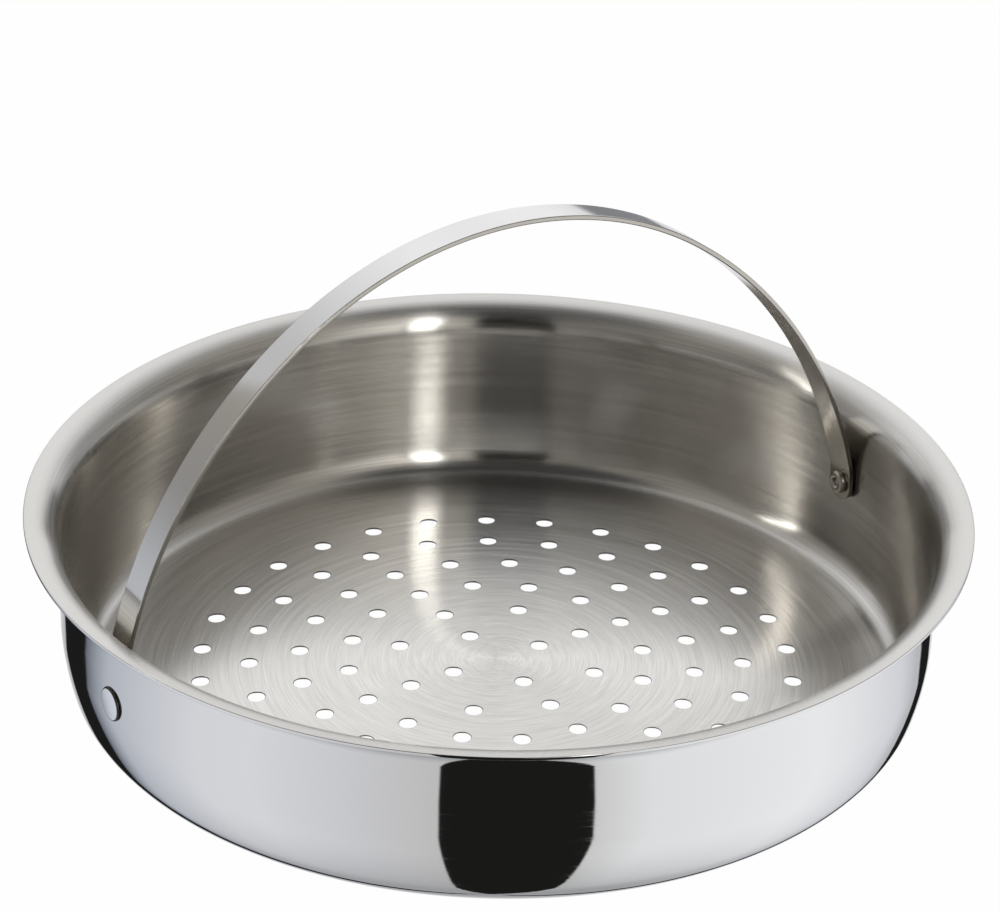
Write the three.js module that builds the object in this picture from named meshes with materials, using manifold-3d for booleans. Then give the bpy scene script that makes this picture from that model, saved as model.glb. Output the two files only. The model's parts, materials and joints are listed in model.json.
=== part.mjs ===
// Steamer insert for a pressure cooker: a perforated drawn basket with a swing bail on two rivets.
// Millimetres, +Z up, +X along the bail's pivot axis, origin at the middle of the foot ring's underside.
import * as THREE from 'three';
import { mergeVertices } from 'three/addons/utils/BufferGeometryUtils.js';
import Module from 'manifold-3d';

const wasm = await Module();
wasm.setup();

// Basket: one drawn sheet
const SHEET = 0.8;
const HEIGHT = 46; // foot to the top of the rim
const WALL_RADIUS = 102.2; // outside of the straight wall
const STRAIGHT_WALL = 18; // height of the straight wall, under the flare
const RIM_BEND = 8; // radius of the flare, on its upper face
const RIM_LIP = 0.83; // flat width outside the flare
const LOWER_LEAN = THREE.MathUtils.degToRad(14.8); // lean of the wall where the bottom corner takes over
const CORNER_RADIUS = 8.5; // outside of the bottom corner
const FOOT_WIDTH = 8.4; // flat ring that the basket stands on
const CROWN_RISE = 3; // the base's middle above the foot ring

// Holes in the base, in rings that all start on the pivot axis
const HOLES_PER_RING = [4, 8, 16, 20, 24, 30];
const HOLE_DIAMETER = 4;
const FIRST_RING_RADIUS = 12;
const HOLE_BORDER = 13.5; // plain base between the last ring's centres and the foot ring

// Bail: one bent strap
const STRAP_WIDTH = 8;
const STRAP_THICKNESS = 1.2;
const FOLD_GAP = 8.4; // how much shorter the bail is than its half span, so that it folds into the basket
const CREST_RADIUS = 93.1; // the arch's tighter top, on the strap's mid-line
const CREST_HALF_ANGLE = THREE.MathUtils.degToRad(34.5);
const TAB_LAND = 2.5; // steel between the rivet hole and the tab's round end
const BAIL_LEAN = THREE.MathUtils.degToRad(2.6); // how far the standing bail leans back
const PIVOT_DROP = 21.9; // rim's top down to the pivot axis

// Rivets: flat head outside, rolled tail inside
const HEAD_DIAMETER = 9;
const HEAD_THICKNESS = 1;
const HEAD_EDGE = 0.35; // rounding of the head's outer edge
const SHANK_DIAMETER = 4;
const TAIL_DIAMETER = 6.7;
const TAIL_HEIGHT = 2;
const TAIL_BORE = 2.6; // hollow end of the shank
const TAIL_BORE_DEPTH = 1.8;

// Clearances
const SEAT_GAP = 0.3; // between head, wall, tab and tail
const SHANK_GAP = 0.3; // around the shank, in the wall and in the tab
const BEND_GAP = 0.85; // from the tail's edge to the bend where the strap leaves the wall
const CUT_MARGIN = 2; // how far a cutting tool runs past what it cuts
const WELD = 1e-4; // points closer than this are one point

// Fineness of round forms
const BASKET_SIDES = 48; // one side is centred on the pivot axis, so each tab has a flat seat
const HOLE_SIDES = 10;
const RIVET_SIDES = 20;
const CROWN_STEPS = 3;
const CORNER_STEPS = 5;
const LOWER_WALL_STEPS = 3;
const FLARE_STEPS = 6;
const FLANK_STEPS = 12;
const CREST_STEPS = 9;
const TAB_END_STEPS = 12;
const ROLL_STEPS = 6;
const HEAD_EDGE_STEPS = 3;

// Places worked out from the sizes above
const innerWall = WALL_RADIUS - SHEET;
const sideFlatness = Math.cos(Math.PI / BASKET_SIDES);
const seatOutside = WALL_RADIUS * sideFlatness;
const seatInside = innerWall * sideFlatness;
const pivotHeight = HEIGHT - PIVOT_DROP;
const wallFoot = HEIGHT - RIM_BEND - STRAIGHT_WALL;
const tabPlane = seatInside - SEAT_GAP - STRAP_THICKNESS / 2; // middle of the tab's thickness
const shankHole = SHANK_DIAMETER / 2 + SHANK_GAP;
const tabTop = TAIL_DIAMETER / 2 + BEND_GAP; // pivot axis up to the bend
const tabDrop = shankHole + TAB_LAND; // pivot axis down to the tab's end
const bailRise = tabPlane - FOLD_GAP; // pivot axis to the strap's mid-line at the top

// A closed geometry as a solid for joining and cutting
function solid(geometry) {
  const bare = geometry.index ? geometry.toNonIndexed() : geometry.clone();
  bare.deleteAttribute('normal');
  bare.deleteAttribute('uv');
  const welded = mergeVertices(bare, WELD);
  const corners = welded.index.array;
  const triangles = [];
  for (let i = 0; i < corners.length; i += 3) {
    const [a, b, c] = [corners[i], corners[i + 1], corners[i + 2]];
    if (a !== b && b !== c && c !== a) triangles.push(a, b, c);
  }
  return new wasm.Manifold(
    new wasm.Mesh({
      numProp: 3,
      vertProperties: new Float32Array(welded.attributes.position.array),
      triVerts: new Uint32Array(triangles),
    }),
  );
}

// A solid back as a mesh with flat facets
function meshOf(body, name, material) {
  const { numProp, vertProperties, triVerts } = body.getMesh();
  const points = [];
  for (let i = 0; i < vertProperties.length; i += numProp) {
    points.push(vertProperties[i], vertProperties[i + 1], vertProperties[i + 2]);
  }
  const geometry = new THREE.BufferGeometry();
  geometry.setAttribute('position', new THREE.Float32BufferAttribute(points, 3));
  geometry.setIndex(Array.from(triVerts));
  geometry.computeVertexNormals();
  const mesh = new THREE.Mesh(geometry, material);
  mesh.name = name;
  return mesh;
}

// A profile of (radius, height) points turned about +Z, with a side centred on +X
function turned(profile, sides) {
  const turn = new THREE.LatheGeometry(profile, sides, Math.PI / sides);
  return solid(turn.rotateX(Math.PI / 2));
}

// Points on an arc, from one angle to another, both ends included
function arc(centreX, centreY, radius, from, to, steps) {
  const points = [];
  for (let i = 0; i <= steps; i += 1) {
    const angle = from + ((to - from) * i) / steps;
    points.push(
      new THREE.Vector2(centreX + radius * Math.cos(angle), centreY + radius * Math.sin(angle)),
    );
  }
  return points;
}

// A round cutter along X, through both walls at the pivot axis or both tabs of the bail
function crossCutter(radius, height) {
  const length = 2 * (WALL_RADIUS + CUT_MARGIN);
  const rod = new THREE.CylinderGeometry(radius, radius, length, RIVET_SIDES);
  return solid(rod.rotateZ(Math.PI / 2).translate(0, 0, height));
}

// Basket: one face of the sheet, from the middle of the base out to the rim's lip.
// The outer face has inset 0 and the inner face has inset SHEET.
const leanSine = Math.sin(LOWER_LEAN);
const lowerRadius = (wallFoot - CORNER_RADIUS * (1 - leanSine)) / leanSine;
const lowerCentre = WALL_RADIUS - lowerRadius;
const cornerCentre = lowerCentre + (lowerRadius - CORNER_RADIUS) * Math.cos(LOWER_LEAN);
const footInner = cornerCentre - FOOT_WIDTH;
const crownRadius = (footInner ** 2 + CROWN_RISE ** 2) / (2 * CROWN_RISE);

function sheetFace(inset) {
  const crownCentre = CROWN_RISE - crownRadius;
  const crownFace = crownRadius + inset;
  const crownEnd = Math.acos(footInner / crownRadius);
  const cornerFace = CORNER_RADIUS - inset;
  const flareCentre = innerWall + RIM_BEND;
  const flareFace = RIM_BEND - SHEET + inset;
  return [
    ...arc(0, crownCentre, crownFace, Math.PI / 2, crownEnd, CROWN_STEPS),
    ...arc(cornerCentre, CORNER_RADIUS, cornerFace, -Math.PI / 2, -LOWER_LEAN, CORNER_STEPS),
    ...arc(lowerCentre, wallFoot, lowerRadius - inset, -LOWER_LEAN, 0, LOWER_WALL_STEPS).slice(1),
    ...arc(flareCentre, HEIGHT - RIM_BEND, flareFace, Math.PI, Math.PI / 2, FLARE_STEPS),
    new THREE.Vector2(flareCentre + RIM_LIP, HEIGHT - SHEET + inset),
  ];
}

function basketSolid() {
  const profile = [...sheetFace(0), ...sheetFace(SHEET).reverse()];
  const drillTop = CROWN_RISE + SHEET + CUT_MARGIN;
  const drill = new THREE.CylinderGeometry(
    HOLE_DIAMETER / 2,
    HOLE_DIAMETER / 2,
    drillTop + CUT_MARGIN,
    HOLE_SIDES,
  );
  drill.rotateX(Math.PI / 2).translate(0, 0, (drillTop - CUT_MARGIN) / 2);
  const ringStep = (footInner - HOLE_BORDER - FIRST_RING_RADIUS) / (HOLES_PER_RING.length - 1);
  let body = turned(profile, BASKET_SIDES);
  HOLES_PER_RING.forEach((count, ring) => {
    const radius = FIRST_RING_RADIUS + ring * ringStep;
    for (let i = 0; i < count; i += 1) {
      const hole = drill.clone().translate(radius, 0, 0).rotateZ((2 * Math.PI * i) / count);
      body = body.subtract(solid(hole));
    }
  });
  return body.subtract(crossCutter(shankHole, pivotHeight));
}

// Bail, with its pivot axis at the origin: a tight crest between two flatter flanks.
// The flanks' radius and lean follow from the crest and the tabs that they join.
const crestEnd = Math.PI / 2 - CREST_HALF_ANGLE;
const crestCentre = bailRise - CREST_RADIUS;
const flankRun = tabPlane - CREST_RADIUS * Math.cos(crestEnd);
const flankRise = bailRise - tabTop - CREST_RADIUS * (1 - Math.sin(crestEnd));
const flankLean = 2 * Math.atan2(flankRun, flankRise) - crestEnd;
const flankRadius = flankRun / (Math.cos(flankLean) - Math.cos(crestEnd));
const flankCentreX = tabPlane - flankRadius * Math.cos(flankLean);
const flankCentreY = tabTop - flankRadius * Math.sin(flankLean);

// Right half of one face of the strap, from the tab's foot to the crest
function strapFace(offset) {
  const radius = flankRadius + offset;
  const start = Math.acos((tabPlane + offset - flankCentreX) / radius);
  return [
    new THREE.Vector2(tabPlane + offset, -tabDrop - CUT_MARGIN),
    ...arc(flankCentreX, flankCentreY, radius, start, crestEnd, FLANK_STEPS),
    ...arc(0, crestCentre, CREST_RADIUS + offset, crestEnd, Math.PI / 2, CREST_STEPS).slice(1),
  ];
}

function mirrored(points) {
  return points
    .slice(0, -1)
    .reverse()
    .map((point) => new THREE.Vector2(-point.x, point.y));
}

function bailSolid() {
  const outer = strapFace(STRAP_THICKNESS / 2);
  const inner = strapFace(-STRAP_THICKNESS / 2);
  const outline = [...outer, ...mirrored(outer), ...[...inner, ...mirrored(inner)].reverse()];
  const wide = STRAP_WIDTH + 2 * CUT_MARGIN;
  const arch = new THREE.ExtrudeGeometry(new THREE.Shape(outline), {
    depth: wide,
    bevelEnabled: false,
  });
  arch.rotateX(Math.PI / 2).translate(0, wide / 2, 0);
  // The strap's width with its round ends, seen along X
  const half = STRAP_WIDTH / 2;
  const top = bailRise + STRAP_THICKNESS + CUT_MARGIN;
  const front = new THREE.Shape([
    ...arc(0, half - tabDrop, half, Math.PI, 2 * Math.PI, TAB_END_STEPS),
    new THREE.Vector2(half, top),
    new THREE.Vector2(-half, top),
  ]);
  const span = 2 * (tabPlane + STRAP_THICKNESS + CUT_MARGIN);
  const blank = new THREE.ExtrudeGeometry(front, { depth: span, bevelEnabled: false });
  blank.translate(0, 0, -span / 2).rotateX(Math.PI / 2).rotateZ(Math.PI / 2);
  return solid(arch).intersect(solid(blank)).subtract(crossCutter(shankHole, 0));
}

// Rivet along +Z, with its head's outer face up and its height measured from the wall's outside
function rivetSolid() {
  const headRadius = HEAD_DIAMETER / 2;
  const shankRadius = SHANK_DIAMETER / 2;
  const tailRadius = TAIL_DIAMETER / 2;
  const boreRadius = TAIL_BORE / 2;
  const headFoot = SEAT_GAP;
  const headTop = headFoot + HEAD_THICKNESS;
  const edgeCentre = headRadius - HEAD_EDGE;
  const tailTop = tabPlane - STRAP_THICKNESS / 2 - SEAT_GAP - seatOutside;
  const tailFoot = tailTop - TAIL_HEIGHT;
  const roll = (tailRadius - boreRadius) / 2; // half the width of the rolled ring
  const rollFlat = TAIL_HEIGHT - roll; // straight side of the tail above the roll
  return turned(
    [
      new THREE.Vector2(0, tailFoot + TAIL_BORE_DEPTH),
      new THREE.Vector2(boreRadius, tailFoot + TAIL_BORE_DEPTH),
      ...arc(boreRadius + roll, tailTop - rollFlat, roll, Math.PI, 2 * Math.PI, ROLL_STEPS),
      new THREE.Vector2(tailRadius, tailTop),
      new THREE.Vector2(shankRadius, tailTop),
      new THREE.Vector2(shankRadius, headFoot),
      new THREE.Vector2(headRadius, headFoot),
      ...arc(edgeCentre, headTop - HEAD_EDGE, HEAD_EDGE, 0, Math.PI / 2, HEAD_EDGE_STEPS),
      new THREE.Vector2(0, headTop),
    ],
    RIVET_SIDES,
  );
}

const satinSteel = new THREE.MeshStandardMaterial({ color: 0xb9b6af, roughness: 0.32, metalness: 1 });
const strapSteel = new THREE.MeshStandardMaterial({ color: 0xc6c6c6, roughness: 0.15, metalness: 1 });

// One rivet in its wall: its head points along +X, turned about +Z to the side it is on
function rivetMesh(name, side) {
  const polished = new THREE.MeshStandardMaterial({ color: 0xcfd0d2, roughness: 0.12, metalness: 1 });
  const mesh = meshOf(rivetSolid(), name, polished);
  mesh.rotation.y = Math.PI / 2;
  mesh.position.x = seatOutside;
  const place = new THREE.Group();
  place.rotation.z = side;
  place.position.z = pivotHeight;
  place.add(mesh);
  return place;
}

const steamerInsert = new THREE.Group();
steamerInsert.add(meshOf(basketSolid(), 'basket', satinSteel));

const bailPivot = new THREE.Group();
bailPivot.position.z = pivotHeight;
bailPivot.rotation.x = -BAIL_LEAN;
bailPivot.add(meshOf(bailSolid(), 'bail_handle', strapSteel));
steamerInsert.add(bailPivot);

steamerInsert.add(rivetMesh('rivet_right', 0));
steamerInsert.add(rivetMesh('rivet_left', Math.PI));

export default steamerInsert;
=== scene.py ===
import json
import math

import bmesh
import bpy
from mathutils import Matrix, Vector

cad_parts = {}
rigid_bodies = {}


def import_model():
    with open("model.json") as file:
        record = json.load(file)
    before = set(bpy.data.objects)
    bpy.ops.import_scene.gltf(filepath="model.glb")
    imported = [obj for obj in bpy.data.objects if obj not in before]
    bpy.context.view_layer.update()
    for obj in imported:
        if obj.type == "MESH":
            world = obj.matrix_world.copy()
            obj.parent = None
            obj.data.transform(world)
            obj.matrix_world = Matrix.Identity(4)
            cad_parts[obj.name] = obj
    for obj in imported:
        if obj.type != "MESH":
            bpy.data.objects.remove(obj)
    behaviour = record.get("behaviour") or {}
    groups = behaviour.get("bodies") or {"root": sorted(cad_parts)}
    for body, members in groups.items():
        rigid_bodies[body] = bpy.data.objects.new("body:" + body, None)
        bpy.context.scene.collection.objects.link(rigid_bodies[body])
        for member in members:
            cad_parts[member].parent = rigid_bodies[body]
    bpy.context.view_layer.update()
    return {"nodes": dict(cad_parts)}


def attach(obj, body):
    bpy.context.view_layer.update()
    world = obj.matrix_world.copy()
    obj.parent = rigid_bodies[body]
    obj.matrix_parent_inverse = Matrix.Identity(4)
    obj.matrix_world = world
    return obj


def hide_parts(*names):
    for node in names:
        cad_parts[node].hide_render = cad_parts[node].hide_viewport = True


for leftover in list(bpy.data.objects):
    bpy.data.objects.remove(leftover)
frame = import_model()
print("frame loaded:", ", ".join(sorted(frame["nodes"])))

mm = 0.001  # pieces are modelled in millimetres and brought to metres at the end
bumpDistance = 0.0002
plainSharp = 32.0  # degrees; an edge that bends more than this is shaded sharp


# Shader wiring
class Wire:
    # one socket of a node tree; sums on it become Math nodes
    def __init__(self, tree, socket=None):
        self.tree = tree
        self.socket = socket

    def node(self, kind, settings=None, links=None, out=0):
        made = self.tree.nodes.new(kind)
        for name, value in (settings or {}).items():
            if name == "stops":
                while len(made.color_ramp.elements) < len(value):
                    made.color_ramp.elements.new(0.5)
                for stop, (place, tone) in zip(made.color_ramp.elements, value):
                    stop.position = place
                    stop.color = (*tone, 1.0)
            else:
                setattr(made, name, value)
        for name, value in (links or {}).items():
            if isinstance(value, Wire):
                self.tree.links.new(value.socket, made.inputs[name])
            else:
                made.inputs[name].default_value = value
        return Wire(self.tree, made.outputs[out] if made.outputs else None)

    def sums(self, operation, first, second=0.0):
        return self.node("ShaderNodeMath", {"operation": operation}, {0: first, 1: second})

    def __add__(self, other):
        return self.sums("ADD", self, other)

    def __radd__(self, other):
        return self.sums("ADD", other, self)

    def __sub__(self, other):
        return self.sums("SUBTRACT", self, other)

    def __rsub__(self, other):
        return self.sums("SUBTRACT", other, self)

    def __mul__(self, other):
        return self.sums("MULTIPLY", self, other)

    def __truediv__(self, other):
        return self.sums("DIVIDE", self, other)

    def __pow__(self, other):
        return self.sums("POWER", self, other)


def eased(value, low, high):  # 0 below low, 1 above high
    return value.node(
        "ShaderNodeMapRange",
        {"interpolation_type": "SMOOTHSTEP"},
        {"Value": value, "From Min": low, "From Max": high},
    )


def parted(vector):
    return [vector.node("ShaderNodeSeparateXYZ", None, {0: vector}, axis) for axis in range(3)]


def joined(x, y, z):
    return x.node("ShaderNodeCombineXYZ", None, {0: x, 1: y, 2: z})


def grain(place, detail, rough):
    return place.node(
        "ShaderNodeTexNoise", None, {"Vector": place, "Scale": 1.0, "Detail": detail, "Roughness": rough}
    )


def bumped(height, strength):
    return height.node(
        "ShaderNodeBump", None, {"Strength": strength, "Distance": bumpDistance, "Height": height}
    )


def tinted(amount, colourA, colourB):
    return amount.node("ShaderNodeMix", {"data_type": "RGBA"}, {0: amount, 6: colourA, 7: colourB}, 2)


def startFinish(name):
    finish = bpy.data.materials.new(name)
    finish.use_nodes = True
    finish.node_tree.nodes.clear()
    return finish, Wire(finish.node_tree)


def endFinish(wire, sockets):
    shader = wire.node("ShaderNodeBsdfPrincipled", None, {"Metallic": 1.0, **sockets})
    wire.node("ShaderNodeOutputMaterial", None, {"Surface": shader})


# Profiles drawn as wires in the XZ plane
def facesIn(geometry):
    return [part for part in geometry if isinstance(part, bmesh.types.BMFace)]


def pointsIn(geometry):
    return [part for part in geometry if isinstance(part, bmesh.types.BMVert)]


def startWire(bm, x, z):
    return bmesh.ops.create_vert(bm, co=(x, 0, z))["vert"][0]


def runTo(bm, point, x, z):
    newPoint = bmesh.ops.extrude_vert_indiv(bm, verts=[point])["verts"][0]
    newPoint.co = (x, 0, z)
    return newPoint


def bendAbout(bm, point, x, z, degrees, steps):  # positive turns +Z towards +X
    made = bmesh.ops.spin(
        bm, geom=[point], cent=(x, 0, z), axis=(0, 1, 0), angle=math.radians(degrees), steps=steps
    )
    return pointsIn(made["geom_last"])[0]


def turnWire(bm, steps):  # the wire turned once about Z
    bmesh.ops.spin(
        bm,
        geom=bm.verts[:] + bm.edges[:],
        cent=(0, 0, 0),
        axis=(0, 0, 1),
        angle=math.tau,
        steps=steps,
        use_merge=True,
    )
    bmesh.ops.remove_doubles(bm, verts=bm.verts[:], dist=1e-4)
    bmesh.ops.dissolve_degenerate(bm, edges=bm.edges[:], dist=1e-5)
    bmesh.ops.recalc_face_normals(bm, faces=bm.faces[:])


# Meshes made into pieces
def makePiece(name, bm, finishes, sharpAngle=plainSharp):
    bmesh.ops.scale(bm, vec=(mm, mm, mm), verts=bm.verts[:])
    mesh = bpy.data.meshes.new(name)
    bm.to_mesh(mesh)
    bm.free()
    for finish in finishes:
        mesh.materials.append(finish)
    piece = bpy.data.objects.new(name, mesh)
    bpy.context.scene.collection.objects.link(piece)
    smoothPiece(piece, sharpAngle)
    return piece


def smoothPiece(piece, sharpAngle):
    piece.data.shade_smooth()
    piece.data.set_sharp_from_angle(angle=math.radians(sharpAngle))


def settleModifiers(piece, sharpAngle):  # the modified mesh becomes the piece's own
    graph = bpy.context.evaluated_depsgraph_get()
    settled = bpy.data.meshes.new_from_object(piece.evaluated_get(graph))
    piece.modifiers.clear()
    piece.data = settled
    smoothPiece(piece, sharpAngle)


def cutAway(piece, cutterMesh):
    cutter = makePiece(piece.name + "_cutter", cutterMesh, [])
    cut = piece.modifiers.new("cut", "BOOLEAN")
    cut.operation = "DIFFERENCE"
    cut.solver = "EXACT"
    cut.object = cutter
    settleModifiers(piece, plainSharp)
    bpy.data.objects.remove(cutter)


def evenNormals(piece):  # flat faces stay flat beside their eased edges
    even = piece.modifiers.new("even_normals", "WEIGHTED_NORMAL")
    even.keep_sharp = True
    even.weight = 80


# Steel finishes
satinTone = {
    "colour": (0.695, 0.679, 0.651, 1.0),
    "shade": (0.575, 0.561, 0.535, 1.0),
    # the rim's colour is darkened as painted shade, so the rim shows no brighter than the base's front
    "rimShadeColour": (0.59, 0.577, 0.555, 1.0),
    "roughness": 0.18,
    "rimRoughness": 0.235,
    "baseRoughness": 0.23,
    "baseTo": (0.080, 0.092),  # the base's brushing turns into the wall's between these radii
    "bendTo": (0.1023, 0.1030),  # and the wall's roughness into the rim's
    "rimShadeTo": (0.1035, 0.1065),  # and the wall's colour into the rim's darker one, which is painted shade
    "roughSpread": 0.04,
    "broadRoughness": 0.05,
    "anisotropy": 1.0,
    "linesAround": 3.0,  # how often a brush line starts anew round the basket
    "fineLines": 2600.0,  # lines in a metre across the brushing
    "fineShare": 0.65,
    "broadLines": 720.0,
    "broadAround": 0.6,
    "cloudLines": 40.0,
    "cloudAround": 0.4,
    "lineTo": (0.3, 0.7),  # grain between which a line goes from shade to colour
    "bump": 0.14,
    "baseBump": 0.35,  # share of the bump that the base has
}
mirrorTone = {
    "colour": (0.74, 0.745, 0.755, 1.0),
    "roughness": 0.03,
    "roughSpread": 0.05,
    "linesAround": 4.0,
    "fineLines": 3200.0,
    "scratchTo": (0.58, 0.72),
    "bump": 0.015,
}
strapTone = {
    "colour": (0.655, 0.65, 0.64, 1.0),
    "lowShadeColour": (0.42, 0.395, 0.34, 1.0),  # painted shade: darker and warmer towards the riveted ends, standing in for the wall's darker reflection there
    "edgeColour": (0.5, 0.48, 0.44, 1.0),
    "lowEdgeShadeColour": (0.26, 0.24, 0.21, 1.0),
    "endShadeTo": (0.036, 0.050),  # heights over which the painted shade on the ends fades out
    "roughness": 0.08,
    "edgeRoughness": 0.24,
    "roughSpread": 0.06,
    "lines": 2400.0,
    "alongLines": 30.0,
    "bump": 0.03,
}
rivetTone = {
    # polished steel, with its colour raised above the other steels' as a painted highlight so the flat
    # heads show brighter than the wall
    "colour": (0.95, 0.95, 0.95, 1.0),
    "roughness": 0.1,
    "roughSpread": 0.12,
    "specks": 900.0,
    "speckTo": (0.55, 0.75),
    "bump": 0.03,
}
# near-black painted shade for the cut walls of the punched holes and for the rivet heads' sides
paintedShadeTone = {"colour": (0.09, 0.087, 0.08, 1.0), "roughness": 0.42}
# the clinched tail is rougher worked metal, and its colour is darkened as painted shade inside the basket
tailShadeTone = {"colour": (0.46, 0.435, 0.39, 1.0), "roughness": 0.3}


def objectPlace(wire):
    return wire.node("ShaderNodeTexCoord", None, None, "Object")


def sheetPlace(wire, around):
    # polar place: the run grows along the sheet from the middle of the base to the rim
    x, y, z = parted(objectPlace(wire))
    radius = (x * x + y * y) ** 0.5 + 1e-6
    return radius, (x / radius * around, y / radius * around, radius + z)


def brushLines(place, lines, share=1.0):  # a smaller share makes lines that run on for longer
    cosine, sine, run = place
    return grain(joined(cosine * share, sine * share, run * lines), 2.0, 0.5)


def satinSteel():
    tone = satinTone
    finish, wire = startFinish("satin_brushed_steel")
    radius, place = sheetPlace(wire, tone["linesAround"])
    fine = brushLines(place, tone["fineLines"])
    broad = brushLines(place, tone["broadLines"], tone["broadAround"])
    cloud = brushLines(place, tone["cloudLines"], tone["cloudAround"])
    lines = fine * tone["fineShare"] + broad * (1 - tone["fineShare"])
    onWall = eased(radius, *tone["baseTo"])
    roughness = tone["baseRoughness"] + onWall * (tone["roughness"] - tone["baseRoughness"])
    roughness = roughness + eased(radius, *tone["bendTo"]) * (tone["rimRoughness"] - tone["roughness"])
    height = lines * (tone["baseBump"] + onWall * (1.0 - tone["baseBump"]))
    roughness = roughness + (cloud - 0.5) * tone["roughSpread"] + (broad - 0.5) * tone["broadRoughness"]
    brushed = tinted(eased(lines, *tone["lineTo"]), tone["shade"], tone["colour"])
    endFinish(
        wire,
        {
            # the rim takes a darker colour as painted shade
            "Base Color": tinted(eased(radius, *tone["rimShadeTo"]), brushed, tone["rimShadeColour"]),
            "Roughness": roughness,
            "Anisotropic": tone["anisotropy"],
            "Anisotropic Rotation": 0.25,
            "Normal": bumped(height, tone["bump"]),
        },
    )
    return finish


def mirrorSteel():
    tone = mirrorTone
    finish, wire = startFinish("mirror_polished_steel")
    fine = brushLines(sheetPlace(wire, tone["linesAround"])[1], tone["fineLines"])
    scratches = eased(fine, *tone["scratchTo"])
    endFinish(
        wire,
        {
            "Base Color": tone["colour"],
            "Roughness": tone["roughness"] + scratches * tone["roughSpread"],
            "Normal": bumped(fine, tone["bump"]),
        },
    )
    return finish


def strapSteel(name, colour, lowShadeColour, roughness):
    tone = strapTone
    finish, wire = startFinish(name)
    x, y, z = parted(objectPlace(wire))
    along = grain(joined(x * tone["alongLines"], y * tone["lines"], z * tone["alongLines"]), 3.0, 0.6)
    endFinish(
        wire,
        {
            # the strap's lower ends take a darker, warmer colour as painted shade
            "Base Color": tinted(eased(z, *tone["endShadeTo"]), tone[lowShadeColour], tone[colour]),
            "Roughness": tone[roughness] + (along - 0.5) * tone["roughSpread"],
            "Normal": bumped(along, tone["bump"]),
        },
    )
    return finish


def rivetSteel():
    tone = rivetTone
    finish, wire = startFinish("polished_rivet_steel")
    place = objectPlace(wire)
    close = place.node("ShaderNodeVectorMath", {"operation": "SCALE"}, {0: place, "Scale": tone["specks"]})
    speck = grain(close, 3.0, 0.6)
    endFinish(
        wire,
        {
            "Base Color": tone["colour"],
            "Roughness": tone["roughness"] + eased(speck, *tone["speckTo"]) * tone["roughSpread"],
            "Normal": bumped(speck, tone["bump"]),
        },
    )
    return finish


def plainSteel(name, tone):
    finish, wire = startFinish(name)
    endFinish(wire, {"Base Color": tone["colour"], "Roughness": tone["roughness"]})
    return finish


satin = satinSteel()
mirror = mirrorSteel()
strapFace = strapSteel("polished_strap_steel", "colour", "lowShadeColour", "roughness")
strapEdge = strapSteel("ground_strap_edge", "edgeColour", "lowEdgeShadeColour", "edgeRoughness")
rivetPolish = rivetSteel()
rivetTail = plainSteel("clinched_rivet_tail", tailShadeTone)
# the holes' cut walls are near-black: painted shade
punched = plainSteel("punched_steel_edge", paintedShadeTone)
# the heads' sides and outer rounding are near-black: a painted shade ring round each head
rivetSideShade = plainSteel("rivet_head_side", paintedShadeTone)
print("finishes made:", len(bpy.data.materials))

# Basket
basketSize = {
    "sheet": 0.8,
    "height": 46.0,
    "wallRadius": 102.2,
    "straightWall": 18.0,
    "rimBend": 8.0,
    "rimLip": 0.58,
    "lowerLean": 14.8,
    "cornerRadius": 8.5,
    "footWidth": 8.4,
    "crownRise": 2.65,
    "holesPerRing": (4, 8, 16, 20, 24, 30),
    "holeRadius": 2.07,
    "holeShift": (0.2, -0.2),  # the punched pattern sits a little off the middle
    "holeEdge": 0.1,  # how far a hole's upper edge is eased
    "holeUnder": (0.8, 0.62),  # width and depth of the break-out on its lower edge
    "firstRing": 12.0,
    "holeBorder": 13.5,
    "pivotDrop": 21.9,
    "rivetHole": 2.3,
    "rivetHoleEdge": 0.05,
    "rimEdge": 0.18,
    "rimBand": 1.2,  # width of the rim's outermost part, where only the edge itself is polished
    "crownSteps": 20,
    "cornerSteps": 12,
    "lowerSteps": 8,
    "rimSteps": 14,
    "turnSteps": 240,
}
toolReach = 2.0  # how far a hole's tool stands out of the sheet on both sides
toolSteps = 32
pivotHeight = basketSize["height"] - basketSize["pivotDrop"]
lyingAlongX = Matrix.Rotation(math.pi / 2, 4, "Y")  # what was turned about Z then lies along the pivot axis


def basketSection(size):
    lean = math.radians(size["lowerLean"])
    corner = size["cornerRadius"]
    wallFoot = size["height"] - size["rimBend"] - size["straightWall"]
    lowerRadius = (wallFoot - corner * (1 - math.sin(lean))) / math.sin(lean)
    lowerCentre = size["wallRadius"] - lowerRadius
    cornerCentre = lowerCentre + (lowerRadius - corner) * math.cos(lean)
    footInner = cornerCentre - size["footWidth"]
    crownRadius = (footInner**2 + size["crownRise"] ** 2) / (2 * size["crownRise"])
    return {
        "wallFoot": wallFoot,
        "lowerRadius": lowerRadius,
        "lowerCentre": lowerCentre,
        "cornerCentre": cornerCentre,
        "footInner": footInner,
        "crownRadius": crownRadius,
        "flareCentre": size["wallRadius"] - size["sheet"] + size["rimBend"],
        "flareRadius": size["rimBend"] - size["sheet"],
    }


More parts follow.
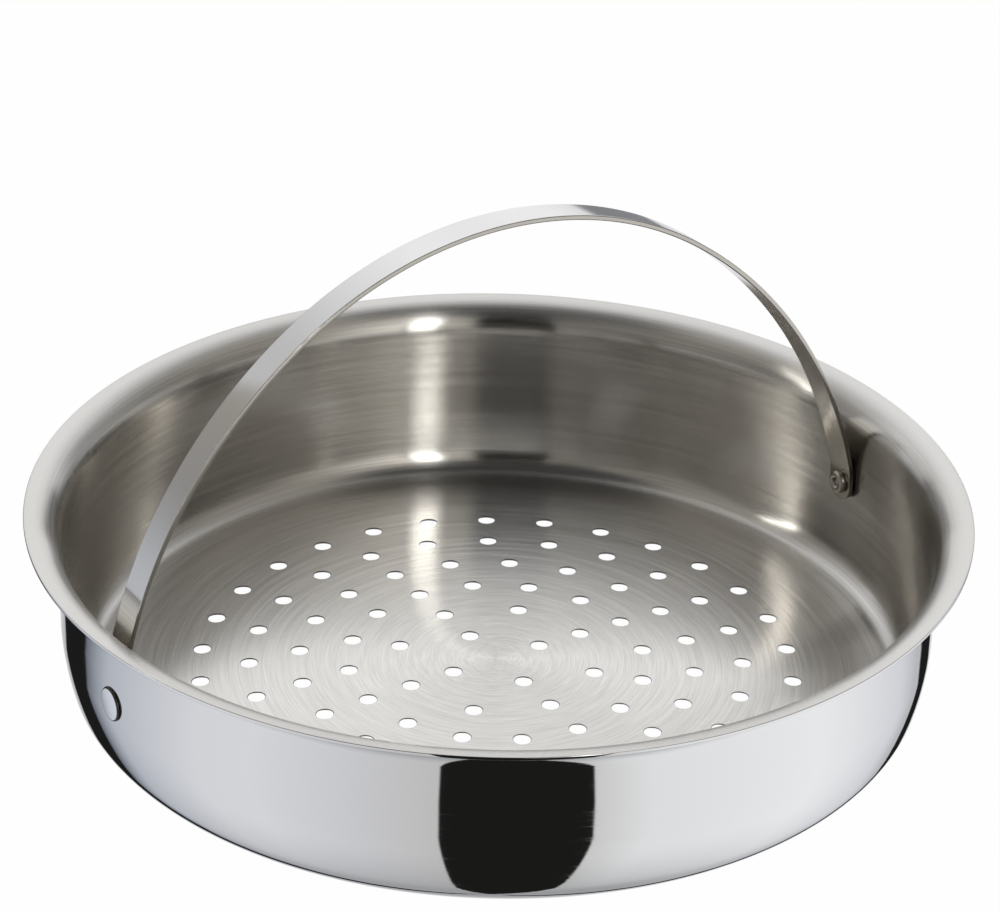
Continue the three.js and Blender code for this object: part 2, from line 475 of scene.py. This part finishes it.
def basketShell(size, section):
    bm = bmesh.new()
    crownAngle = math.degrees(math.asin(section["footInner"] / section["crownRadius"]))
    straightTop = size["height"] - size["rimBend"]
    point = startWire(bm, 0, size["crownRise"])
    crownCentre = size["crownRise"] - section["crownRadius"]
    point = bendAbout(bm, point, 0, crownCentre, crownAngle, size["crownSteps"])
    point = runTo(bm, point, section["cornerCentre"], 0)
    cornerTurn, lowerTurn = size["lowerLean"] - 90, -size["lowerLean"]
    corner, lower = section["cornerCentre"], section["lowerCentre"]
    point = bendAbout(bm, point, corner, size["cornerRadius"], cornerTurn, size["cornerSteps"])
    point = bendAbout(bm, point, lower, section["wallFoot"], lowerTurn, size["lowerSteps"])
    point = runTo(bm, point, size["wallRadius"], (section["wallFoot"] + straightTop) / 2)
    point = runTo(bm, point, size["wallRadius"], straightTop)
    point = bendAbout(bm, point, section["flareCentre"], straightTop, 90, size["rimSteps"])
    runTo(bm, point, section["flareCentre"] + size["rimLip"], size["height"] - size["sheet"])
    turnWire(bm, size["turnSteps"])
    if sum(face.normal.z for face in bm.faces if face.calc_center_median().length < size["firstRing"]) > 0:
        bmesh.ops.reverse_faces(bm, faces=bm.faces[:])
    for face in bm.faces:
        face.material_index = 1
    bmesh.ops.solidify(bm, geom=bm.faces[:], thickness=size["sheet"])
    return bm


def dressShell(bm, size, section):
    # satin inside and under the base, mirror polish outside
    rimRadius = section["flareCentre"] + size["rimLip"]
    lip = [
        edge
        for edge in bm.edges
        if all(math.hypot(v.co.x, v.co.y) > rimRadius - 0.01 for v in edge.verts)
        and abs(edge.verts[0].co.z - edge.verts[1].co.z) < 0.01
    ]
    bmesh.ops.bevel(
        bm,
        geom=lip,
        offset=size["rimEdge"],
        segments=3,
        profile=0.5,
        affect="EDGES",
        material=-1,
    )
    for face in bm.faces:
        middle = face.calc_center_median()
        reach = math.hypot(middle.x, middle.y)
        outward = (face.normal.x * middle.x + face.normal.y * middle.y) / max(reach, 1e-6)
        under = face.normal.z < -0.5 and reach < section["footInner"]
        polished = (outward > 0.02 or face.normal.z < -0.02) and face.normal.z < 0.5 and not under
        if reach > rimRadius - size["rimBand"] and face.normal.z > -0.3:
            polished = outward > 0.95
        face.material_index = 1 if polished else 0


def addTool(bm, size, edge, under, middle, seat, finishIndex):
    # a spool that opens a hole and eases both its edges
    tool = bmesh.new()
    wide, deep = under
    end = middle + toolReach
    point = startWire(tool, 0, end)
    point = runTo(tool, point, size + edge + toolReach, end)
    point = runTo(tool, point, size, middle - edge)
    point = runTo(tool, point, size, deep - middle)
    point = runTo(tool, point, size + wide * (1 + toolReach / deep), -end)
    runTo(tool, point, 0, -end)
    turnWire(tool, toolSteps)
    for face in tool.faces:
        face.material_index = finishIndex
    bmesh.ops.transform(tool, matrix=seat, verts=tool.verts[:])
    loose = bpy.data.meshes.new("tool")
    tool.to_mesh(loose)
    tool.free()
    bm.from_mesh(loose)
    bpy.data.meshes.remove(loose)


def basketTools(size, section):
    bm = bmesh.new()
    lastRing = section["footInner"] - size["holeBorder"]
    step = (lastRing - size["firstRing"]) / (len(size["holesPerRing"]) - 1)
    middle = size["sheet"] / 2
    shift = Matrix.Translation((*size["holeShift"], 0))
    for ring, count in enumerate(size["holesPerRing"]):
        reach = size["firstRing"] + ring * step
        slope = math.asin(reach / section["crownRadius"])
        under = size["crownRise"] - section["crownRadius"] * (1 - math.cos(slope))
        for place in range(count):
            turn = shift @ Matrix.Rotation(math.tau * place / count, 4, "Z")
            lift = Matrix.Translation((reach, 0, under + middle)) @ Matrix.Rotation(slope, 4, "Y")
            # the holes' cut walls take finish 2, the near-black painted shade
            addTool(bm, size["holeRadius"], size["holeEdge"], size["holeUnder"], middle, turn @ lift, 2)
    ease = size["rivetHoleEdge"]
    for side in (0, math.pi):
        turn = Matrix.Rotation(side, 4, "Z")
        seat = Matrix.Translation((size["wallRadius"] - middle, 0, pivotHeight)) @ lyingAlongX
        addTool(bm, size["rivetHole"], ease, (ease, ease), middle, turn @ seat, 2)
    return bm


section = basketSection(basketSize)
shell = basketShell(basketSize, section)
dressShell(shell, basketSize, section)
basket = makePiece("steamer_basket", shell, [satin, mirror, punched])
cutAway(basket, basketTools(basketSize, section))
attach(basket, "basket_body")
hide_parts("basket")
print("basket made:", len(basket.data.polygons), "faces")

# Bail
bailSize = {
    "width": 8.0,
    "thickness": 1.2,
    "tabPlane": 100.28,  # middle of the tab's thickness
    "foldGap": 8.4,
    "crestRadius": 93.1,
    "crestHalfAngle": 34.5,
    "tabTop": 4.2,
    "tabDrop": 4.8,
    "tabHole": 2.3,
    "lean": 2.6,
    "edge": 0.28,
    "bendEase": 1.4,
    "crestSteps": 30,
    "flankSteps": 40,
    "tabEnd": 0.002,  # half of what stays straight between the two roundings of a tab's end
    "holeEdge": 0.12,
}


def bailStrap(size):
    # half of the strap is swept from the crest down to one tab, then mirrored
    bm = bmesh.new()
    half, thin = size["width"] / 2, size["thickness"] / 2
    rise = size["tabPlane"] - size["foldGap"]
    crestEnd = math.radians(90 - size["crestHalfAngle"])
    run = size["tabPlane"] - size["crestRadius"] * math.cos(crestEnd)
    climb = rise - size["tabTop"] - size["crestRadius"] * (1 - math.sin(crestEnd))
    lean = 2 * math.atan2(run, climb) - crestEnd
    flankRadius = run / (math.cos(lean) - math.cos(crestEnd))
    flankX = size["tabPlane"] - flankRadius * math.cos(lean)
    flankZ = size["tabTop"] - flankRadius * math.sin(lean)
    inner, outer = rise - thin, rise + thin
    corners = [(0, -half, inner), (0, half, inner), (0, half, outer), (0, -half, outer)]
    cap = bm.faces.new([bm.verts.new(corner) for corner in corners])
    crest = bmesh.ops.spin(
        bm,
        geom=[cap],
        cent=(0, 0, rise - size["crestRadius"]),
        axis=(0, 1, 0),
        angle=math.radians(size["crestHalfAngle"]),
        steps=size["crestSteps"],
    )
    flank = bmesh.ops.spin(
        bm,
        geom=crest["geom_last"],
        cent=(flankX, 0, flankZ),
        axis=(0, 1, 0),
        angle=crestEnd - lean,
        steps=size["flankSteps"],
    )
    kink = pointsIn(flank["geom_last"])
    for point in kink:  # the last section is laid on the mitre between flank and tab
        side = 1 if point.co.x > size["tabPlane"] else -1
        point.co.x = size["tabPlane"] + side * thin
        point.co.z = size["tabTop"] - side * thin * math.tan(lean / 2)
    inside = facesIn(flank["geom_last"])
    foot = bmesh.ops.extrude_face_region(bm, geom=inside)
    for point in pointsIn(foot["geom"]):
        point.co.z = -size["tabDrop"]
    bmesh.ops.delete(bm, geom=inside + [cap], context="FACES_ONLY")
    rounding = {"profile": 0.5, "affect": "EDGES", "material": -1}
    bends = [
        edge
        for edge in bm.edges
        if all(point in kink for point in edge.verts)
        and abs(edge.verts[0].co.y - edge.verts[1].co.y) > half
    ]
    bmesh.ops.bevel(bm, geom=bends, offset=size["bendEase"], segments=5, **rounding)
    ends = [
        edge
        for edge in bm.edges
        if all(abs(point.co.z + size["tabDrop"]) < 1e-4 for point in edge.verts)
        and abs(edge.verts[0].co.x - edge.verts[1].co.x) > thin
    ]
    bmesh.ops.bevel(bm, geom=ends, offset=half - size["tabEnd"], segments=18, **rounding)
    bmesh.ops.mirror(bm, geom=bm.verts[:] + bm.edges[:] + bm.faces[:], axis="X", merge_dist=1e-3)
    bmesh.ops.remove_doubles(bm, verts=bm.verts[:], dist=1e-3)
    bmesh.ops.recalc_face_normals(bm, faces=bm.faces[:])
    for face in bm.faces:
        flat = abs(face.normal.y) > 0.5 or max(v.co.z for v in face.verts) < 0
        face.material_index = 1 if flat and abs(face.normal.x) < 0.5 else 0
    corners = [e for e in bm.edges if e.is_manifold and e.calc_face_angle() > math.radians(40)]
    bmesh.ops.bevel(bm, geom=corners, offset=size["edge"], segments=3, **rounding)
    return bm


def bailTools(size):
    bm = bmesh.new()
    ease = size["holeEdge"]
    for side in (-1, 1):
        seat = Matrix.Translation((side * size["tabPlane"], 0, 0)) @ lyingAlongX
        addTool(bm, size["tabHole"], ease, (ease, ease), size["thickness"] / 2, seat, 1)
    return bm


leanBack = Matrix.Rotation(math.radians(-bailSize["lean"]), 4, "X")
bailPlace = Matrix.Translation((0, 0, pivotHeight)) @ leanBack
strap, strapTools = bailStrap(bailSize), bailTools(bailSize)
for part in (strap, strapTools):
    bmesh.ops.transform(part, matrix=bailPlace, verts=part.verts[:])
bail = makePiece("bail_strap", strap, [strapFace, strapEdge])
cutAway(bail, strapTools)
evenNormals(bail)
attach(bail, "bail_body")
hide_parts("bail_handle")
print("bail made:", len(bail.data.polygons), "faces")

# Rivets
rivetSize = {
    "headRadius": 4.05,
    "headThickness": 0.75,
    "headEdge": 0.5,
    "headCrown": (0.03, 0.12),  # how far the head falls away halfway out and at its edge
    "headUnder": 0.12,
    "headShift": (0.85, 1.25),  # the head is set a little off its shank
    "shankRadius": 2.0,
    "tailRadius": 2.9,
    "tailHeight": 1.4,
    "tailEase": 0.15,
    "boreRadius": 0.95,
    "boreDepth": 1.0,
    "boreTaper": 0.86,
    "boreEnd": 0.2,
    "seatOutside": 102.15,  # the wall's outside, under the head
    "seatInside": 99.64,  # the tab's inner face, under the tail
    "sharpAngle": 50.0,
    "turnSteps": 56,
}


def rivetTurning(size):
    # turned about Z, head up, with the wall's outside at zero height
    bm = bmesh.new()
    edge, under, ease = size["headEdge"], size["headUnder"], size["tailEase"]
    halfFall, edgeFall = size["headCrown"]
    tailTop = size["seatInside"] - size["seatOutside"]
    tailFoot = tailTop - size["tailHeight"]
    roll = (size["tailRadius"] - size["boreRadius"]) / 2
    point = startWire(bm, 0, size["headThickness"])
    headTop = size["headThickness"] - edgeFall
    point = runTo(bm, point, size["headRadius"] / 2, size["headThickness"] - halfFall)
    point = runTo(bm, point, size["headRadius"] - edge, headTop)
    point = bendAbout(bm, point, size["headRadius"] - edge, headTop - edge, 90, 7)
    point = runTo(bm, point, size["headRadius"], under)
    point = runTo(bm, point, size["headRadius"] - under, 0)
    point = runTo(bm, point, size["shankRadius"], 0)
    point = runTo(bm, point, size["shankRadius"], tailTop)
    point = runTo(bm, point, size["tailRadius"] - ease, tailTop)
    point = runTo(bm, point, size["tailRadius"], tailTop - ease)
    point = runTo(bm, point, size["tailRadius"], tailFoot + roll)
    point = bendAbout(bm, point, size["tailRadius"] - roll, tailFoot + roll, 180, 14)
    boreTop = tailFoot + size["boreDepth"]
    point = runTo(bm, point, size["boreRadius"] * size["boreTaper"], boreTop - size["boreEnd"])
    point = runTo(bm, point, size["boreRadius"] / 2, boreTop)
    runTo(bm, point, 0, boreTop)
    turnWire(bm, size["turnSteps"])
    # the head's side and outer rounding take finish 1, a near-black painted shade ring; the tail takes
    # finish 2
    for face in bm.faces:
        middle = face.calc_center_median()
        if middle.z > 0 and face.normal.z < 0.975:
            face.material_index = 1
        elif middle.z < tailTop:
            face.material_index = 2
    head = [
        point
        for point in bm.verts
        if point.co.z > 0.01 or (point.co.z > -0.01 and point.co.xy.length > size["shankRadius"] + 0.1)
    ]
    bmesh.ops.translate(bm, vec=(*size["headShift"], 0), verts=head)
    return bm


def makeRivet(name, node, turn):
    bm = rivetTurning(rivetSize)
    seat = Matrix.Translation((rivetSize["seatOutside"], 0, pivotHeight)) @ lyingAlongX
    bmesh.ops.transform(bm, matrix=Matrix.Rotation(turn, 4, "Z") @ seat, verts=bm.verts[:])
    rivet = makePiece(name, bm, [rivetPolish, rivetSideShade, rivetTail], rivetSize["sharpAngle"])
    evenNormals(rivet)
    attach(rivet, "basket_body")
    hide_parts(node)


makeRivet("right_rivet", "rivet_right", 0)
makeRivet("left_rivet", "rivet_left", math.pi)
print("rivets made")

# Floor and studio
plainWhite = (1.0, 1.0, 1.0, 1.0)
studio = {
    "floorReach": 3.0,
    "floorColour": (0.9, 0.9, 0.9, 1.0),
    "floorDrop": 0.0002,
    "floorWhite": 0.985,  # how far the floor goes to plain white for the eye
    "facing": -32.8,  # degrees; azimuths are counted from here, positive to the right
    "deepTo": (-80.0, -40.0),  # elevations between which one band of light turns into the next
    "deepTone": (0.42, 0.42, 0.43, 1.0),
    "overFrom": (-5.0, 14.0),
    "highFrom": (22.0, 36.0),
}
# a dark ceiling over the camera's side, all in degrees
ceiling = {"azimuth": 0.0, "elevation": 74.0, "half": 25.0, "soft": 7.0, "tone": (0.05, 0.05, 0.05, 1.0)}
# light round the object by azimuth, below the horizon, over it and higher up
lightBelow = (
    (-180, (0.88, 0.88, 0.90)),
    (-136, (0.13, 0.14, 0.17)),
    (-128, (0.37, 0.40, 0.45)),
    (-121, (0.55, 0.58, 0.64)),
    (-110, (0.65, 0.67, 0.72)),
    (-84, (0.85, 0.86, 0.89)),
    (-66, (0.88, 0.88, 0.90)),
    (-37, (0.76, 0.76, 0.78)),
    (-14, (0.67, 0.66, 0.65)),
    (27, (0.77, 0.77, 0.75)),
    (42, (0.96, 0.96, 0.96)),
    (94, (1.07, 1.07, 1.07)),
    (106, (1.01, 1.01, 1.02)),
    (133, (0.79, 0.80, 0.84)),
    (145, (0.55, 0.56, 0.58)),
    (180, (0.88, 0.88, 0.90)),
)
lightOver = (
    (-180, (1.18, 1.19, 1.20)),
    (-160, (1.08, 1.09, 1.10)),
    (-142, (0.63, 0.63, 0.64)),
    (-129, (0.72, 0.72, 0.74)),
    (-123.4, (0.79, 0.79, 0.81)),
    (-122.4, (0.44, 0.42, 0.38)),
    (-113, (0.38, 0.37, 0.36)),
    (-95, (0.26, 0.25, 0.23)),
    (-70, (0.15, 0.14, 0.13)),
    (-50, (0.24, 0.23, 0.21)),
    (-35, (0.17, 0.16, 0.15)),
    (-14, (0.22, 0.21, 0.19)),
    (27, (1.15, 1.10, 1.02)),
    (38, (0.78, 0.75, 0.69)),
    (50, (0.46, 0.44, 0.40)),
    (70, (0.22, 0.21, 0.19)),
    (90, (0.22, 0.21, 0.19)),
    (120, (0.28, 0.28, 0.27)),
    (138, (0.33, 0.33, 0.34)),
    (150, (0.80, 0.80, 0.82)),
    (162, (1.16, 1.17, 1.18)),
    (180, (1.18, 1.19, 1.20)),
)
lightHigh = (
    (-180, (1.25, 1.26, 1.28)),
    (-165, (1.24, 1.25, 1.27)),
    (-150, (1.05, 1.06, 1.08)),
    (-123, (0.66, 0.66, 0.67)),
    (-110, (0.38, 0.37, 0.35)),
    (-95, (0.36, 0.35, 0.32)),
    (-70, (0.34, 0.32, 0.30)),
    (-50, (0.26, 0.25, 0.23)),
    (-35, (0.28, 0.27, 0.25)),
    (-14, (0.25, 0.24, 0.22)),
    (27, (1.10, 1.05, 0.97)),
    (38, (0.72, 0.69, 0.64)),
    (50, (0.52, 0.50, 0.46)),
    (70, (0.35, 0.33, 0.30)),
    (90, (0.35, 0.33, 0.30)),
    (110, (0.28, 0.27, 0.25)),
    (130, (0.50, 0.50, 0.51)),
    (150, (1.05, 1.06, 1.08)),
    (165, (1.24, 1.25, 1.27)),
    (180, (1.25, 1.26, 1.28)),
)
# azimuth, half width, lowest and highest elevation, softness, all in degrees, then the panel's light
panels = {
    "dark horizon behind": (180.0, 34.0, -14.0, 3.2, 0.5, (0.28, 0.285, 0.30, 1.0)),
    "front slot": (6.5, 20.1, -91.0, 91.0, 0.4, (0.013, 0.013, 0.012, 1.0)),
    "front lamp shoulder": (14.5, 5.5, 4.0, 48.0, 3.5, (0.62, 0.6, 0.55, 1.0)),
    "front lamp foot": (21.4, 3.2, 3.0, 23.0, 1.5, (3.3, 3.25, 3.1, 1.0)),
    "front lamp": (21.4, 3.2, 23.0, 43.0, 1.5, (5.7, 5.65, 5.5, 1.0)),
    "left lamp": (-88.2, 1.4, 17.0, 40.0, 1.2, (5.4, 5.2, 4.9, 1.0)),
    "left slot": (-146.0, 10.5, -91.0, 14.0, 1.0, (0.013, 0.013, 0.013, 1.0)),
    "right slot": (155.5, 6.8, -91.0, 14.0, 1.0, (0.013, 0.013, 0.013, 1.0)),
}


def makeFloor():
    finish, wire = startFinish("studio_floor")
    rays = ("Is Camera Ray", "Is Glossy Ray", "Is Transmission Ray")
    direct, glossy, through = (wire.node("ShaderNodeLightPath", None, None, ray) for ray in rays)
    seen = wire.sums("MINIMUM", direct + glossy + through, 1.0)
    matt = wire.node("ShaderNodeBsdfDiffuse", None, {"Color": studio["floorColour"]})
    white = wire.node("ShaderNodeEmission", None, {"Color": plainWhite, "Strength": 1.0})
    mixed = wire.node("ShaderNodeMixShader", None, {0: seen * studio["floorWhite"], 1: matt, 2: white})
    wire.node("ShaderNodeOutputMaterial", None, {"Surface": mixed})
    bm = bmesh.new()
    bmesh.ops.create_grid(bm, x_segments=1, y_segments=1, size=studio["floorReach"])
    bmesh.ops.translate(bm, vec=(0, 0, -studio["floorDrop"]), verts=bm.verts[:])
    mesh = bpy.data.meshes.new("studio_floor")
    bm.to_mesh(mesh)
    bm.free()
    mesh.materials.append(finish)
    floor = bpy.data.objects.new("studio_floor", mesh)
    bpy.context.scene.collection.objects.link(floor)
    floor.visible_glossy = False


def makeStudio():
    world = bpy.data.worlds.new("studio")
    bpy.context.scene.world = world
    world.use_nodes = True
    world.node_tree.nodes.clear()
    wire = Wire(world.node_tree)
    x, y, z = parted(wire.node("ShaderNodeTexCoord", None, None, "Generated"))
    turn = math.radians(studio["facing"])
    ahead = x * math.sin(turn) - y * math.cos(turn)
    aside = x * math.cos(turn) + y * math.sin(turn)
    around = wire.sums("ARCTAN2", aside, ahead) / math.tau + 0.5
    height = wire.sums("ARCSINE", z) * (180 / math.pi)
    bands = []
    for band in (lightBelow, lightOver, lightHigh):
        stops = [(0.5 + azimuth / 360, tone) for azimuth, tone in band]
        bands.append(wire.node("ShaderNodeValToRGB", {"stops": stops}, {0: around}))
    light = tinted(eased(height, *studio["deepTo"]), studio["deepTone"], bands[0])
    light = tinted(eased(height, *studio["overFrom"]), light, bands[1])
    light = tinted(eased(height, *studio["highFrom"]), light, bands[2])
    level = (x * x + y * y) ** 0.5 + 1e-6
    for azimuth, half, low, high, soft, tone in panels.values():
        turn = math.radians(studio["facing"] + azimuth)
        facing = (x * math.sin(turn) - y * math.cos(turn)) / level
        inner = math.cos(math.radians(max(half - soft, 0)))
        outer = math.cos(math.radians(half + soft))
        mask = eased(facing, outer, inner)
        mask = mask * eased(height, low - soft, low + soft) * (1 - eased(height, high - soft, high + soft))
        light = tinted(mask, light, tone)
    turn = math.radians(studio["facing"] + ceiling["azimuth"])
    tilt = math.radians(ceiling["elevation"])
    near = (x * math.sin(turn) - y * math.cos(turn)) * math.cos(tilt) + z * math.sin(tilt)
    inner = math.cos(math.radians(ceiling["half"] - ceiling["soft"]))
    outer = math.cos(math.radians(ceiling["half"] + ceiling["soft"]))
    light = tinted(eased(near, outer, inner), light, ceiling["tone"])
    lit = wire.node("ShaderNodeBackground", None, {"Color": light, "Strength": 1.0})
    white = wire.node("ShaderNodeBackground", None, {"Color": plainWhite, "Strength": 1.0})
    seen = wire.node("ShaderNodeLightPath", None, None, "Is Camera Ray")
    mixed = wire.node("ShaderNodeMixShader", None, {0: seen, 1: lit, 2: white})
    wire.node("ShaderNodeOutputWorld", None, {"Surface": mixed})


makeFloor()
makeStudio()
print("studio made")

# Camera
cameraView = {
    "lens": 143.35,
    "sensor": 36.0,
    "aim": (-0.00011, 0.00007, 0.05805),
    "distance": 0.91926,
    "azimuth": -32.8,
    "elevation": 28.352,
    "roll": 1.445,
}


def makeCamera(view):
    azimuth, elevation, roll = (math.radians(view[name]) for name in ("azimuth", "elevation", "roll"))
    level = math.cos(elevation)
    back = Vector((math.sin(azimuth) * level, -math.cos(azimuth) * level, math.sin(elevation)))
    side = Vector((math.cos(azimuth), math.sin(azimuth), 0))
    up = back.cross(side)
    turned = side * math.cos(roll) + up * math.sin(roll)
    upright = up * math.cos(roll) - side * math.sin(roll)
    lens = bpy.data.cameras.new("camera")
    lens.lens = view["lens"]
    lens.sensor_width = view["sensor"]
    camera = bpy.data.objects.new("camera", lens)
    bpy.context.scene.collection.objects.link(camera)
    camera.matrix_world = Matrix((turned, upright, back)).transposed().to_4x4()
    camera.location = Vector(view["aim"]) + back * view["distance"]
    bpy.context.scene.camera = camera


makeCamera(cameraView)
bpy.context.scene.view_settings.view_transform = "Standard"
print("camera placed")
